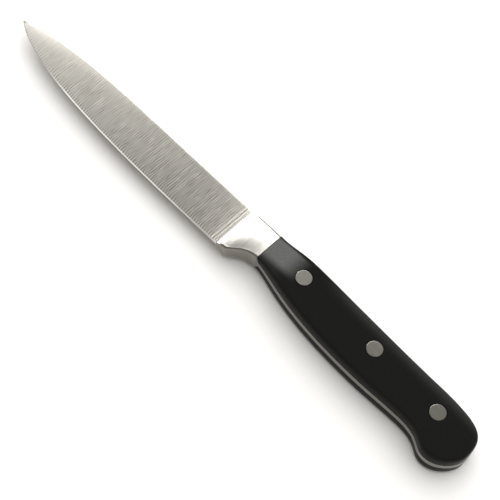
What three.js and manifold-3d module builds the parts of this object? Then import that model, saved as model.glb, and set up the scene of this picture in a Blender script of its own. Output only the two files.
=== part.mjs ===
// Kitchen utility knife with a riveted handle: one forging that is blade, bolster and full tang,
// two handle scales, and three two-part rivets that hold the scales on the tang.
// Millimetres. X runs from the tip to the butt, Y from the cutting edge to the spine, and Z up
// through the thickness. The knife lies on its right side, with its left side up.
// Heights and depths are taken across the knife from the rivet line where it meets the shoulder,
// the plane where the bolster ends and the scales begin, and x is 0 at that shoulder.

import * as THREE from 'three';
import { mergeVertices } from 'three/addons/utils/BufferGeometryUtils.js';
import Module from 'manifold-3d';

const wasm = await Module();
wasm.setup();

// Blade
const BLADE_LENGTH = 121.2; // heel to tip
const BLADE_SPINE_HEIGHT = 6.8;
const EDGE_DEPTH = 12.3; // at the heel
const TIP_HEIGHT = 0.5;
const SPINE_STRAIGHT = 55; // length of the straight spine in front of the bolster
const EDGE_STRAIGHT = 25; // length of the straight edge in front of the heel
const HEEL_SPINE_THICKNESS = 2.0;
const TIP_SPINE_THICKNESS = 1.2;
const SPINE_EDGE_BREAK = 0.2; // rounding of the two spine edges
const EDGE_BEVEL_WIDTH = 0.55;
const EDGE_BEVEL_THICKNESS = 0.35; // where the bevel starts
const EDGE_LAND = 0.04; // what is left of the thickness at the edge itself
// Towards the tip the bevel and the spine's rounding shrink with the blade, to these shares of it.
const BEVEL_WIDTH_SHARE = 0.3; // of the blade's width
const BEVEL_THICKNESS_SHARE = 0.6; // of the spine's thickness
const BREAK_WIDTH_SHARE = 0.2; // of the blade's width
const BREAK_THICKNESS_SHARE = 0.4; // of half the spine's thickness

// Bolster
const BOLSTER_LENGTH = 15.4; // heel to shoulder
const HOLLOW_RUN = 3.6; // length of the hollow that climbs from the blade to the bolster, at the spine
const GUARD_HOLLOW_RUN = 2.3; // and at the heel
const BOLSTER_FRONT_THICKNESS = 6.7; // at the top of that hollow
const SHOULDER_THICKNESS = 9.64;
const GUARD_LENGTH = 3.9; // level stretch under the heel
const ROLL_START_DEPTH = 0.5; // from here to the belly the bolster's sides roll over
const ROLL_RADIUS = 56;
const BELLY_EDGE_RADIUS = 0.5; // crisp edge between the sides and the belly of the bolster
const CRISP_TO_ROUND = 4.5; // length before the shoulder where that edge opens to the scales' rounding
const SHOULDER_CHAMFER_RUN = 1.3; // slope that joins the shoulder to the tang, along the tang
const SHOULDER_CHAMFER_RISE = 2.9; // and up the shoulder
const SHOULDER_CLEAR_RUN = 0.5; // least straight run of the outline behind that slope

// Handle, in plan
const HANDLE_LENGTH = 104.2; // shoulder to butt
const SHOULDER_SPINE_HEIGHT = 6.4;
const SHOULDER_DIP = 0.55; // how far the spine is pulled down just behind the shoulder
const CREST_AT = 18; // highest point of the handle's spine, from the shoulder
const CREST_HEIGHT = 7.0;
const REAR_FROM_BUTT = 24.2; // where the spine starts to round into the butt
const REAR_HEIGHT = 5.35;
const BUTT_DEPTH = 7.0; // rearmost point of the butt
const NOTCH_DEPTH = 6.75; // belly at the shoulder, where the forefinger lies
const SWELL_FROM_BUTT = 48.2; // deepest point of the grip
const SWELL_DEPTH = 13.7;
const WAIST_FROM_BUTT = 26.2; // shallow place in front of the hook
const WAIST_DEPTH = 13.0;
const HOOK_FROM_BUTT = 10.7; // lowest point of the hooked butt
const HOOK_DEPTH = 17.4;

// Handle, in thickness
const HANDLE_THICKNESS = 12.4;
const RAMP_LENGTH = 14.5; // the scales thicken from the shoulder over this length
const RAMP_BLEND = 6.0; // last part of the ramp, which curves into the flat
const SCALE_CORNER_RADIUS = 2.5;
const TANG_THICKNESS = 2.6;
const TANG_EDGE_BREAK = 0.15;
const TANG_INSET = 0.06; // the tang's edge lies this much inside the scales' outline
const SEAT_GAP = 0.05; // between the scales and the forging, and round the rivets

// Rivets
const RIVET_HEAD_DIAMETER = 6.2;
const RIVET_HEAD_THICKNESS = 1.8;
const RIVET_HEAD_BREAK = 0.15;
const RIVET_SETBACK = 0.03; // heads lie this much below the face of the scale
const SLEEVE_DIAMETER = 4.0;
const SLEEVE_BORE_DIAMETER = 2.9;
const SLEEVE_END_GAP = 0.6; // between the end of a sleeve and the head of its pin
const PIN_END_GAP = 0.6; // between the end of a pin and the bottom of its sleeve
const FRONT_RIVET_AT = 18; // from the shoulder
const MIDDLE_RIVET_AT = 54.6;
const REAR_RIVET_FROM_BUTT = 18.0;
const RIVET_LINE_TILT = THREE.MathUtils.degToRad(2.12); // the rivet line falls towards the butt

// How long each curve holds its direction as it leaves and as it arrives, as shares of its run
const SHOULDER_TO_CREST = [0.33, 0.4];
const CREST_TO_REAR = [0.17, 0.32];
const REAR_TO_BUTT = [0.82, 0.85];
const GUARD_TO_NOTCH = [0.17, 0.62];
const NOTCH_TO_SWELL = [0.14, 0.69];
const SWELL_TO_WAIST = [0.37, 0.37];
const WAIST_TO_HOOK = [0.68, 0.37];
const HOOK_TO_BUTT = [0.5, 0.45];
// The blade's two curves leave level for a share of their run, and come to the tip from a point
// that lies a share of the run behind it and a share of the rise or fall across from it.
const SPINE_TO_TIP = { leave: 0.37, behind: 0.24, across: 0.93 };
const EDGE_TO_TIP = { leave: 0.45, behind: 0.14, across: 0.83 };

// Finishes
const STEEL = { color: 0xb4b1a9, roughness: 0.32, metalness: 1.0 };
const SCALE_PLASTIC = { color: 0x1e1e1c, roughness: 0.42, metalness: 0.0 };
const RIVET_METAL = { color: 0xa8a59e, roughness: 0.38, metalness: 1.0 };

// Fineness of the curved surfaces
const CORNER_STEPS = 3;
const SIDE_STEPS = 6;
const ROUND_STEPS = 5;
const TURN_STEPS = 24;
// Steps along each curve of the outline. Curves that face each other have as many steps in all.
const BLADE_SPINE_STEPS = [6, 14];
const BLADE_EDGE_STEPS = [3, 17];
const BOLSTER_BELLY_STEPS = [6, 12];
const HANDLE_SPINE_STEPS = [8, 16, 20];
const HANDLE_BELLY_STEPS = [18, 6, 10, 10];

const { lerp, clamp } = THREE.MathUtils;
const point = (x, y) => new THREE.Vector2(x, y);
const ease = (share) => (1 - Math.cos(Math.PI * clamp(share, 0, 1))) / 2;

// A curve that leaves and arrives level, holding level for the given shares of its run.
function levelSpan(from, to, [leave, arrive]) {
  const run = to.x - from.x;
  const out = point(from.x + leave * run, from.y);
  const back = point(to.x - arrive * run, to.y);
  return new THREE.CubicBezierCurve(from, out, back, to);
}

// A curve that leaves level and arrives upright.
function turnSpan(from, to, [leave, arrive]) {
  const out = point(from.x + leave * (to.x - from.x), from.y);
  const back = point(to.x, to.y - arrive * (to.y - from.y));
  return new THREE.CubicBezierCurve(from, out, back, to);
}

// A curve of the blade, from a level stretch to the tip.
function tipSpan(from, tip, { leave, behind, across }) {
  const run = tip.x - from.x;
  const out = point(from.x + leave * run, from.y);
  const back = point(tip.x - behind * run, tip.y - across * (tip.y - from.y));
  return new THREE.CubicBezierCurve(from, out, back, tip);
}

// Points along several curves, one after the other, without repeating their joints.
function rail(steps, ...curves) {
  return curves.flatMap((curve, index) => curve.getPoints(steps[index]).slice(index === 0 ? 0 : 1));
}

function pairRails(spine, belly) {
  return spine.map((onSpine, index) => ({ spine: onSpine, belly: belly[index] }));
}

// Two rails of the blade, from the heel to the tip.
function bladePairs() {
  const tip = point(-BOLSTER_LENGTH - BLADE_LENGTH, TIP_HEIGHT);
  const spineHeel = point(-BOLSTER_LENGTH, BLADE_SPINE_HEIGHT);
  const spineBend = point(-BOLSTER_LENGTH - SPINE_STRAIGHT, BLADE_SPINE_HEIGHT);
  const edgeHeel = point(-BOLSTER_LENGTH, -EDGE_DEPTH);
  const edgeBend = point(-BOLSTER_LENGTH - EDGE_STRAIGHT, -EDGE_DEPTH);
  const spine = rail(
    BLADE_SPINE_STEPS,
    new THREE.LineCurve(spineHeel, spineBend),
    tipSpan(spineBend, tip, SPINE_TO_TIP),
  );
  const edge = rail(
    BLADE_EDGE_STEPS,
    new THREE.LineCurve(edgeHeel, edgeBend),
    tipSpan(edgeBend, tip, EDGE_TO_TIP),
  );
  return pairRails(spine, edge);
}

// Two rails of the bolster, from the heel to the shoulder.
function bolsterPairs() {
  const third = BOLSTER_LENGTH / 3;
  const fall = SHOULDER_DIP / (SHOULDER_TO_CREST[0] * CREST_AT); // of the spine as it passes the shoulder
  const spine = new THREE.CubicBezierCurve(
    point(-BOLSTER_LENGTH, BLADE_SPINE_HEIGHT),
    point(-2 * third, BLADE_SPINE_HEIGHT),
    point(-third, SHOULDER_SPINE_HEIGHT + fall * third),
    point(0, SHOULDER_SPINE_HEIGHT),
  );
  const heel = point(-BOLSTER_LENGTH, -EDGE_DEPTH);
  const guard = point(-BOLSTER_LENGTH + GUARD_LENGTH, -EDGE_DEPTH);
  const notch = point(0, -NOTCH_DEPTH);
  const belly = rail(
    BOLSTER_BELLY_STEPS,
    new THREE.LineCurve(heel, guard),
    levelSpan(guard, notch, GUARD_TO_NOTCH),
  );
  return pairRails(spine.getPoints(belly.length - 1), belly);
}

// Two rails of the handle, from the shoulder to the butt, where they meet.
function handlePairs() {
  const butt = point(HANDLE_LENGTH, -BUTT_DEPTH);
  const crest = point(CREST_AT, CREST_HEIGHT);
  const rear = point(HANDLE_LENGTH - REAR_FROM_BUTT, REAR_HEIGHT);
  const shoulderCurve = new THREE.CubicBezierCurve(
    point(0, SHOULDER_SPINE_HEIGHT),
    point(SHOULDER_TO_CREST[0] * CREST_AT, SHOULDER_SPINE_HEIGHT - SHOULDER_DIP),
    point((1 - SHOULDER_TO_CREST[1]) * CREST_AT, CREST_HEIGHT),
    crest,
  );
  const spine = rail(
    HANDLE_SPINE_STEPS,
    shoulderCurve,
    levelSpan(crest, rear, CREST_TO_REAR),
    turnSpan(rear, butt, REAR_TO_BUTT),
  );
  const notch = point(0, -NOTCH_DEPTH);
  const swell = point(HANDLE_LENGTH - SWELL_FROM_BUTT, -SWELL_DEPTH);
  const waist = point(HANDLE_LENGTH - WAIST_FROM_BUTT, -WAIST_DEPTH);
  const hook = point(HANDLE_LENGTH - HOOK_FROM_BUTT, -HOOK_DEPTH);
  const belly = rail(
    HANDLE_BELLY_STEPS,
    levelSpan(notch, swell, NOTCH_TO_SWELL),
    levelSpan(swell, waist, SWELL_TO_WAIST),
    levelSpan(waist, hook, WAIST_TO_HOOK),
    turnSpan(hook, butt, HOOK_TO_BUTT),
  );
  const behindSlope = SHOULDER_CHAMFER_RUN + SHOULDER_CLEAR_RUN;
  return pairRails(spine, belly).filter(
    (pair, index) => index === 0 || Math.min(pair.spine.x, pair.belly.x) > behindSlope,
  );
}

// Height of a polyline at a given x on its first segment.
function heightOnFirst(first, second, x) {
  return lerp(first.y, second.y, (x - first.x) / (second.x - first.x));
}

// Half thickness of the handle and the bolster's flat sides at a given x.
function halfThickness(x) {
  const full = HANDLE_THICKNESS / 2;
  const shoulder = SHOULDER_THICKNESS / 2;
  if (x < 0) {
    const front = BOLSTER_FRONT_THICKNESS / 2;
    return lerp(shoulder, front, Math.min(1, -x / (BOLSTER_LENGTH - HOLLOW_RUN)));
  }
  const blend = Math.min(RAMP_BLEND, RAMP_LENGTH);
  const slope = (full - shoulder) / (RAMP_LENGTH - blend / 2);
  const straight = Math.min(x, RAMP_LENGTH - blend);
  const curved = clamp(x - straight, 0, blend);
  return shoulder + slope * (straight + curved - (curved * curved) / (2 * blend));
}

// A half section is a list of [distance from the spine, height above the mid-plane], from the
// middle of the spine, over the side, to the middle of the belly.
function halfSection(width, sideHeight, spineRadius, bellyRadius) {
  const half = [[0, 0]];
  const spineSide = sideHeight(spineRadius);
  const bellySide = sideHeight(width - bellyRadius);
  for (let step = 0; step <= CORNER_STEPS; step++) {
    const turn = (step / CORNER_STEPS) * (Math.PI / 2);
    half.push([spineRadius * (1 - Math.cos(turn)), spineSide - spineRadius * (1 - Math.sin(turn))]);
  }
  for (let step = 1; step < SIDE_STEPS; step++) {
    const distance = lerp(spineRadius, width - bellyRadius, step / SIDE_STEPS);
    half.push([distance, sideHeight(distance)]);
  }
  for (let step = 0; step <= CORNER_STEPS; step++) {
    const turn = (step / CORNER_STEPS) * (Math.PI / 2);
    const distance = width - bellyRadius * (1 - Math.sin(turn));
    half.push([distance, bellySide - bellyRadius * (1 - Math.cos(turn))]);
  }
  half.push([width, 0]);
  return half;
}

// Blade: a wedge from the spine to the bevel, and then the bevel down to the edge.
function bladeHalf(width, spineHalf) {
  const bevel = Math.min(EDGE_BEVEL_WIDTH, BEVEL_WIDTH_SHARE * width);
  const bevelHalf = Math.min(EDGE_BEVEL_THICKNESS / 2, BEVEL_THICKNESS_SHARE * spineHalf);
  const wedge = (distance) => lerp(spineHalf, bevelHalf, distance / (width - bevel));
  const corner = Math.min(
    SPINE_EDGE_BREAK,
    BREAK_THICKNESS_SHARE * spineHalf,
    BREAK_WIDTH_SHARE * width,
  );
  const half = halfSection(width, wedge, corner, bevel);
  const bevelStart = half.length - 2 - CORNER_STEPS;
  for (let step = 0; step <= CORNER_STEPS; step++) {
    const share = step / CORNER_STEPS;
    half[bevelStart + step] = [width - bevel * (1 - share), lerp(bevelHalf, EDGE_LAND / 2, share)];
  }
  return half;
}

// Bolster: sides that roll over towards the belly, with a crisp belly edge.
function bolsterHalf(pair) {
  const width = pair.spine.y - pair.belly.y;
  const share = ease((pair.belly.x + CRISP_TO_ROUND) / CRISP_TO_ROUND);
  const bellyRadius = lerp(BELLY_EDGE_RADIUS, SCALE_CORNER_RADIUS, share);
  const side = (distance) => {
    const x = lerp(pair.spine.x, pair.belly.x, distance / width);
    const below = Math.max(0, -ROLL_START_DEPTH - (pair.spine.y - distance));
    return halfThickness(x) - ((1 - share) * below * below) / (2 * ROLL_RADIUS);
  };
  const spineRadius = (SCALE_CORNER_RADIUS * halfThickness(pair.spine.x)) / (SHOULDER_THICKNESS / 2);
  return halfSection(width, side, spineRadius, bellyRadius);
}

// Places a half section between its pair of rail points and mirrors it into a closed ring.
function ringOf(pair, half) {
  const width = half[half.length - 1][0];
  const place = ([distance, height]) => {
    const onRail = pair.spine.clone().lerp(pair.belly, distance / width);
    return new THREE.Vector3(onRail.x, onRail.y, height);
  };
  const left = half.map(place);
  const right = left.slice(1, -1).reverse();
  return [...left, ...right.map((p) => new THREE.Vector3(p.x, p.y, -p.z))];
}

// Closed skin over a row of rings, with a point at the first end and a flat cap at the last.
function skinOver(tip, rings) {
  const size = rings[0].length;
  const positions = [tip, ...rings.flat()].flatMap((p) => [p.x, p.y, p.z]);
  const at = (row, index) => 1 + row * size + ((index + size) % size);
  const faces = [];
  for (let index = 0; index < size; index++) {
    faces.push(0, at(0, index + 1), at(0, index));
  }
  for (let row = 0; row + 1 < rings.length; row++) {
    for (let index = 0; index < size; index++) {
      const [a, b] = [at(row, index), at(row, index + 1)];
      const [c, d] = [at(row + 1, index), at(row + 1, index + 1)];
      faces.push(a, b, c, b, d, c);
    }
  }
  const last = rings.length - 1;
  for (let index = 0; index < size / 2; index++) {
    const [a, b] = [at(last, index), at(last, index + 1)];
    const [c, d] = [at(last, -index), at(last, -index - 1)];
    if (index > 0) faces.push(a, b, c);
    if (index < size / 2 - 1) faces.push(c, b, d);
  }
  const geometry = new THREE.BufferGeometry();
  geometry.setAttribute('position', new THREE.Float32BufferAttribute(positions, 3));
  geometry.setIndex(faces);
  return geometry;
}

// Closed mesh as a solid that can be cut, and back.
function solidOf(geometry) {
  const bare = geometry.clone();
  bare.deleteAttribute('normal');
  bare.deleteAttribute('uv');
  const merged = mergeVertices(bare);
  const vertProperties = new Float32Array(merged.attributes.position.array);
  const index = merged.index.array;
  const kept = [];
  for (let start = 0; start < index.length; start += 3) {
    const [a, b, c] = index.slice(start, start + 3);
    if (a !== b && b !== c && c !== a) kept.push(a, b, c);
  }
  const triVerts = new Uint32Array(kept);
  return new wasm.Manifold(new wasm.Mesh({ numProp: 3, vertProperties, triVerts }));
}

function geometryOf(solid) {
  const mesh = solid.getMesh();
  const geometry = new THREE.BufferGeometry();
  geometry.setAttribute('position', new THREE.Float32BufferAttribute(mesh.vertProperties, 3));
  geometry.setIndex(Array.from(mesh.triVerts));
  geometry.computeVertexNormals();
  return geometry;
}

// A plain cylinder along Z between two heights.
function drill({ x, y }, diameter, bottom, top) {
  const geometry = new THREE.CylinderGeometry(diameter / 2, diameter / 2, top - bottom, TURN_STEPS);
  geometry.rotateX(Math.PI / 2);
  geometry.translate(x, y, (bottom + top) / 2);
  return solidOf(geometry);
}

// Rivet places, on one straight line that starts at the shoulder.
const rivetPlace = (x) => point(x, -x * Math.tan(RIVET_LINE_TILT));
const RIVET_PLACES = {
  front: rivetPlace(FRONT_RIVET_AT),
  middle: rivetPlace(MIDDLE_RIVET_AT),
  rear: rivetPlace(HANDLE_LENGTH - REAR_RIVET_FROM_BUTT),
};
const HEAD_TOP = HANDLE_THICKNESS / 2 - RIVET_SETBACK;
const HEAD_SEAT = HEAD_TOP - RIVET_HEAD_THICKNESS;
const SHANK_HOLE_DIAMETER = SLEEVE_DIAMETER + 2 * SEAT_GAP;
const HEAD_HOLE_DIAMETER = RIVET_HEAD_DIAMETER + 2 * SEAT_GAP;

// Blade, bolster and tang, forged in one piece.
function forgedBlade() {
  const rings = [];
  const [heelPair, ...bladeRest] = bladePairs();
  const tipPair = bladeRest.pop();
  const spineHalfAt = (x) => {
    const share = (-BOLSTER_LENGTH - x) / BLADE_LENGTH;
    return lerp(HEEL_SPINE_THICKNESS, TIP_SPINE_THICKNESS, clamp(share, 0, 1)) / 2;
  };
  const bladeHalfAt = (pair) => bladeHalf(pair.spine.distanceTo(pair.belly), spineHalfAt(pair.spine.x));
  for (const pair of [...bladeRest.reverse(), heelPair]) {
    rings.push(ringOf(pair, bladeHalfAt(pair)));
  }

  // The hollow: each section passes from the blade's to the bolster's.
  const bolster = bolsterPairs().slice(1);
  for (const pair of bolster) {
    const width = pair.spine.y - pair.belly.y;
    const thin = bladeHalf(width, HEEL_SPINE_THICKNESS / 2);
    const thick = bolsterHalf(pair);
    const half = thin.map(([distance, height], index) => {
      const down = distance / width;
      const run = lerp(HOLLOW_RUN, GUARD_HOLLOW_RUN, down);
      const share = ease((lerp(pair.spine.x, pair.belly.x, down) + BOLSTER_LENGTH) / run);
      return [lerp(distance, thick[index][0], share), lerp(height, thick[index][1], share)];
    });
    rings.push(ringOf(pair, half));
  }

  // The shoulder's flat face, its slope, and the tang.
  const tangHalf = (pair, height) => {
    const width = pair.spine.distanceTo(pair.belly);
    return halfSection(width, () => height, TANG_EDGE_BREAK, TANG_EDGE_BREAK);
  };
  const inset = ({ spine, belly }) => {
    const across = belly.clone().sub(spine).setLength(TANG_INSET);
    return { spine: spine.clone().add(across), belly: belly.clone().sub(across) };
  };
  const pairs = handlePairs();
  const [first, second] = pairs;
  const slopeEnd = {
    spine: point(SHOULDER_CHAMFER_RUN, heightOnFirst(first.spine, second.spine, SHOULDER_CHAMFER_RUN)),
    belly: point(SHOULDER_CHAMFER_RUN, heightOnFirst(first.belly, second.belly, SHOULDER_CHAMFER_RUN)),
  };
  const tangTop = TANG_THICKNESS / 2;
  const slopeTop = inset(first);
  rings.push(ringOf(slopeTop, tangHalf(slopeTop, tangTop + SHOULDER_CHAMFER_RISE)));
  for (const pair of [slopeEnd, ...pairs.slice(1, -1)].map(inset)) {
    rings.push(ringOf(pair, tangHalf(pair, tangTop)));
  }

  const tip = new THREE.Vector3(tipPair.spine.x, tipPair.spine.y, 0);
  let solid = solidOf(skinOver(tip, rings));
  for (const place of Object.values(RIVET_PLACES)) {
    solid = solid.subtract(drill(place, SHANK_HOLE_DIAMETER, -TANG_THICKNESS, TANG_THICKNESS));
  }
  return geometryOf(solid);
}

// One scale: rings that follow the plan outline, from the seat on the tang, up the flank and over
// the rounded corner to the flat face. Its front end follows the shoulder. Side is 1 for the left
// scale and -1 for the right one.
function handleScale(side) {
  const pairs = handlePairs();
  const seat = TANG_THICKNESS / 2 + SEAT_GAP;
  const [first, second] = pairs;
  const outline = [
    ...pairs.map((pair) => pair.spine),
    ...pairs.slice(0, -1).reverse().map((pair) => pair.belly),
  ];
  const count = outline.length;
  const inward = outline.map((_, index) => {
    if (index === 0) return point(0, -1);
    if (index === count - 1) return point(0, 1);
    const along = outline[index + 1].clone().sub(outline[index - 1]).normalize();
    return point(along.y, -along.x);
  });
  const frontX = (height) => {
    const share = 1 - (height - TANG_THICKNESS / 2) / SHOULDER_CHAMFER_RISE;
    return SEAT_GAP + SHOULDER_CHAMFER_RUN * Math.max(0, share) + (share > 0 ? SEAT_GAP : 0);
  };
  const ringAt = (inset, heightAt) => outline.map((onOutline, index) => {
    const place = onOutline.clone().addScaledVector(inward[index], inset);
    const ends = { 0: [first.spine, second.spine], [count - 1]: [first.belly, second.belly] };
    if (ends[index]) {
      place.x = frontX(heightAt(0));
      place.y = heightOnFirst(...ends[index], place.x) + inward[index].y * inset;
    }
    return new THREE.Vector3(place.x, place.y, side * heightAt(place.x));
  });
  const rings = [ringAt(0, () => seat)];
  for (let step = 0; step <= ROUND_STEPS; step++) {
    const turn = (step / ROUND_STEPS) * (Math.PI / 2);
    const drop = SCALE_CORNER_RADIUS * (1 - Math.sin(turn));
    rings.push(ringAt(SCALE_CORNER_RADIUS * (1 - Math.cos(turn)), (x) => halfThickness(x) - drop));
  }

  const faces = [];
  const at = (row, index) => row * count + index;
  const quad = (a, b, c, d) => {
    const turned = side > 0 ? [a, b, c, a, c, d] : [a, c, b, a, d, c];
    faces.push(...turned);
  };
  const top = rings.length - 1;
  for (let row = 0; row < top; row++) {
    for (let index = 0; index + 1 < count; index++) {
      quad(at(row, index), at(row + 1, index), at(row + 1, index + 1), at(row, index + 1));
    }
    quad(at(row, count - 1), at(row + 1, count - 1), at(row + 1, 0), at(row, 0));
  }
  for (let index = 0; index + 1 < pairs.length; index++) {
    const across = count - 1 - index;
    quad(at(top, index), at(top, across), at(top, across - 1), at(top, index + 1));
    quad(at(0, index), at(0, index + 1), at(0, across - 1), at(0, across));
  }
  const geometry = new THREE.BufferGeometry();
  const positions = rings.flat().flatMap((p) => [p.x, p.y, p.z]);
  geometry.setAttribute('position', new THREE.Float32BufferAttribute(positions, 3));
  geometry.setIndex(faces);
  let solid = solidOf(geometry);
  const beyond = HANDLE_THICKNESS;
  for (const place of Object.values(RIVET_PLACES)) {
    const shank = side > 0 ? [0, beyond] : [-beyond, 0];
    const pocket = side > 0 ? [HEAD_SEAT - SEAT_GAP, beyond] : [-beyond, SEAT_GAP - HEAD_SEAT];
    solid = solid.subtract(drill(place, SHANK_HOLE_DIAMETER, ...shank));
    solid = solid.subtract(drill(place, HEAD_HOLE_DIAMETER, ...pocket));
  }
  return geometryOf(solid);
}

// A body turned about a rivet's axis from a profile of [radius, height].
function turned(place, profile) {
  const points = profile.map(([radius, height]) => point(radius, height));
  const geometry = new THREE.LatheGeometry(points, TURN_STEPS);
  geometry.rotateX(Math.PI / 2);
  geometry.translate(place.x, place.y, 0);
  return geometry;
}

// Tubular half of a rivet, with its head on the left side.
function rivetSleeve(place) {
  const head = RIVET_HEAD_DIAMETER / 2;
  const shank = SLEEVE_DIAMETER / 2;
  const bore = SLEEVE_BORE_DIAMETER / 2;
  const end = -HEAD_SEAT + SLEEVE_END_GAP;
  return turned(place, [
    [0, HEAD_SEAT],
    [bore, HEAD_SEAT],
    [bore, end],
    [shank, end],
    [shank, HEAD_SEAT],
    [head, HEAD_SEAT],
    [head, HEAD_TOP - RIVET_HEAD_BREAK],
    [head - RIVET_HEAD_BREAK, HEAD_TOP],
    [0, HEAD_TOP],
  ]);
}

// Solid half of a rivet, with its head on the right side and its pin in the sleeve's bore.
function rivetPin(place) {
  const head = RIVET_HEAD_DIAMETER / 2;
  const pin = SLEEVE_BORE_DIAMETER / 2 - SEAT_GAP;
  const end = HEAD_SEAT - PIN_END_GAP;
  return turned(place, [
    [0, -HEAD_TOP],
    [head - RIVET_HEAD_BREAK, -HEAD_TOP],
    [head, RIVET_HEAD_BREAK - HEAD_TOP],
    [head, -HEAD_SEAT],
    [pin, -HEAD_SEAT],
    [pin, end],
    [0, end],
  ]);
}

const knife = new THREE.Group();
function addPiece(name, geometry, finish) {
  const mesh = new THREE.Mesh(geometry, new THREE.MeshStandardMaterial(finish));
  mesh.name = name;
  knife.add(mesh);
}

addPiece('forged_blade', forgedBlade(), STEEL);
addPiece('left_scale', handleScale(1), SCALE_PLASTIC);
addPiece('right_scale', handleScale(-1), SCALE_PLASTIC);
for (const [which, place] of Object.entries(RIVET_PLACES)) {
  addPiece(`${which}_rivet_sleeve`, rivetSleeve(place), RIVET_METAL);
  addPiece(`${which}_rivet_pin`, rivetPin(place), RIVET_METAL);
}

// The origin is under the middle of the knife, on the surface that it lies on.
const box = new THREE.Box3().setFromObject(knife);
const middle = box.getCenter(new THREE.Vector3());
knife.position.set(-middle.x, -middle.y, -box.min.z);

export default knife;
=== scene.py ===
# %% [markdown]
# # A forged kitchen utility knife
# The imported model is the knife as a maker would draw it: one forging that is blade, bolster and
# tang, two handle scales, and three rivets in two halves each. It lies on its right side. This
# lesson keeps that model's outline and fits, works out finer surfaces with numpy, and gives each
# one its real finish.

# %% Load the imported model
import math

import bmesh
import bpy
import numpy as np
from mathutils import Matrix, Vector


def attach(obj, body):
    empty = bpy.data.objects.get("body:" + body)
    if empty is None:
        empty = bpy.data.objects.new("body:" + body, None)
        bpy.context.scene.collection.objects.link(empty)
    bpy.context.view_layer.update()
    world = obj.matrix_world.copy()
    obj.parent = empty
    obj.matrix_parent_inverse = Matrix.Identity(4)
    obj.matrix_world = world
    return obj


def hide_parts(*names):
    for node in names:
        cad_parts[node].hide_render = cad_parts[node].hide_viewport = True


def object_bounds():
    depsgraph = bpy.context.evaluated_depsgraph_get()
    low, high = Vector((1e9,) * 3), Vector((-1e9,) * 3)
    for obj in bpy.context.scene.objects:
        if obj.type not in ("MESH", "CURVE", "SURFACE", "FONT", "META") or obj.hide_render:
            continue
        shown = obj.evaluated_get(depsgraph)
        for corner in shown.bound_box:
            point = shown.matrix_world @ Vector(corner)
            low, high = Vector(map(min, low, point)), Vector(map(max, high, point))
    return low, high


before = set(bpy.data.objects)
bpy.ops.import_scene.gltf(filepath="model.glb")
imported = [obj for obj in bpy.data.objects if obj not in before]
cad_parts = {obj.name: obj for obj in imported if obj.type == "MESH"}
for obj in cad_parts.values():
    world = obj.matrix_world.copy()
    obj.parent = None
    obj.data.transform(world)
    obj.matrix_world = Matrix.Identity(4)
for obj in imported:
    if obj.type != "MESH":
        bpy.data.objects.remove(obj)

cad_low, cad_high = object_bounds()
print("model in mm:", [round(1000 * (b - a), 2) for a, b in zip(cad_low, cad_high)])

# %% [markdown]
# ## Sizes
# A knife maker measures from the shoulder, where the bolster ends and the scales begin. All sizes
# here are millimetres from there: x towards the butt, y towards the spine, z up from the mid-plane.
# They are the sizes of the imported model, so one shift carries a point from the maker's frame to the
# model's, whose unit is the metre.

# %% Sizes in millimetres
MM = 1000.0  # millimetres in a metre
HEEL_X, TIP_X, TIP_Y = -15.4, -136.6, 0.5  # where the blade meets the bolster, and its tip
BLADE_SPINE_Y, EDGE_Y = 6.8, -12.3  # spine and edge at the heel
SPINE_STRAIGHT, EDGE_STRAIGHT = 55.0, 25.0  # how far they run straight before they bend
HANDLE_LENGTH, HANDLE_HALF = 104.2, 6.2  # from the shoulder to the butt, and half the thickness
HOOK_Y = -17.4  # lowest point of the hooked butt

SHIFT = np.array([
    MM * cad_high.x - HANDLE_LENGTH,
    MM * cad_low.y - HOOK_Y,
    MM * cad_low.z + HANDLE_HALF,
])
print("from the shoulder to the model's origin:", SHIFT.round(2))

# %% [markdown]
# ## Curves
# The outline of a forged knife has no corners, only curves that run into each other. Each one is a
# cubic curve held by four points. Where two of them meet at a highest or lowest point both run
# level, so the joint can't be felt. A drawn spline would do as well, but four numbers are easy to
# check.

# %% Cubic curves in the plane
def cubic(a, b, c, d, share):
    """Point at each share of the way: four points weighted by cubes of the way gone and left."""
    s = np.asarray(share)[:, None]
    a, b, c, d = (np.asarray(p, float) for p in (a, b, c, d))
    return (1 - s) ** 3 * a + 3 * s * (1 - s) ** 2 * b + 3 * s * s * (1 - s) * c + s ** 3 * d


def level(a, b, leave, arrive, share):
    """Curve from a to b that runs level at both ends, for these shares of its run."""
    run = b[0] - a[0]
    return cubic(a, (a[0] + leave * run, a[1]), (b[0] - arrive * run, b[1]), b, share)


def turning(a, b, leave, arrive, share):
    """Curve from a to b that leaves level and arrives upright."""
    c = (b[0], b[1] - arrive * (b[1] - a[1]))
    return cubic(a, (a[0] + leave * (b[0] - a[0]), a[1]), c, b, share)


def to_tip(a, tip, leave, behind, across, share):
    """Curve from a level stretch to the tip, met from a point behind and across from it."""
    run, rise = tip[0] - a[0], tip[1] - a[1]
    c = (tip[0] - behind * run, tip[1] - across * rise)
    return cubic(a, (a[0] + leave * run, a[1]), c, tip, share)


def straight(a, b, share):
    """Points on the straight line: a weighted by the way left, plus b by the way gone."""
    s = np.asarray(share)[:, None]
    return (1 - s) * np.asarray(a, float) + s * np.asarray(b, float)


def joined(*parts):
    """Several runs of points as one, without repeating the point where two of them meet."""
    return np.vstack([parts[0]] + [p[1:] for p in parts[1:]])


def steps(count):
    """Even shares of the way from 0 to 1, with this many steps between them."""
    return np.linspace(0, 1, count + 1)


print("middle of a level curve:", level((0, 0), (2, 1), 0.5, 0.5, [0.5]))

# %% [markdown]
# ## Outline
# Two rails run along the knife, one on the spine and one on the belly, in step with each other. The
# blade's rails start close together at the heel, because the grinding leaves a fine ridge there
# that needs narrow rows.

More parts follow.
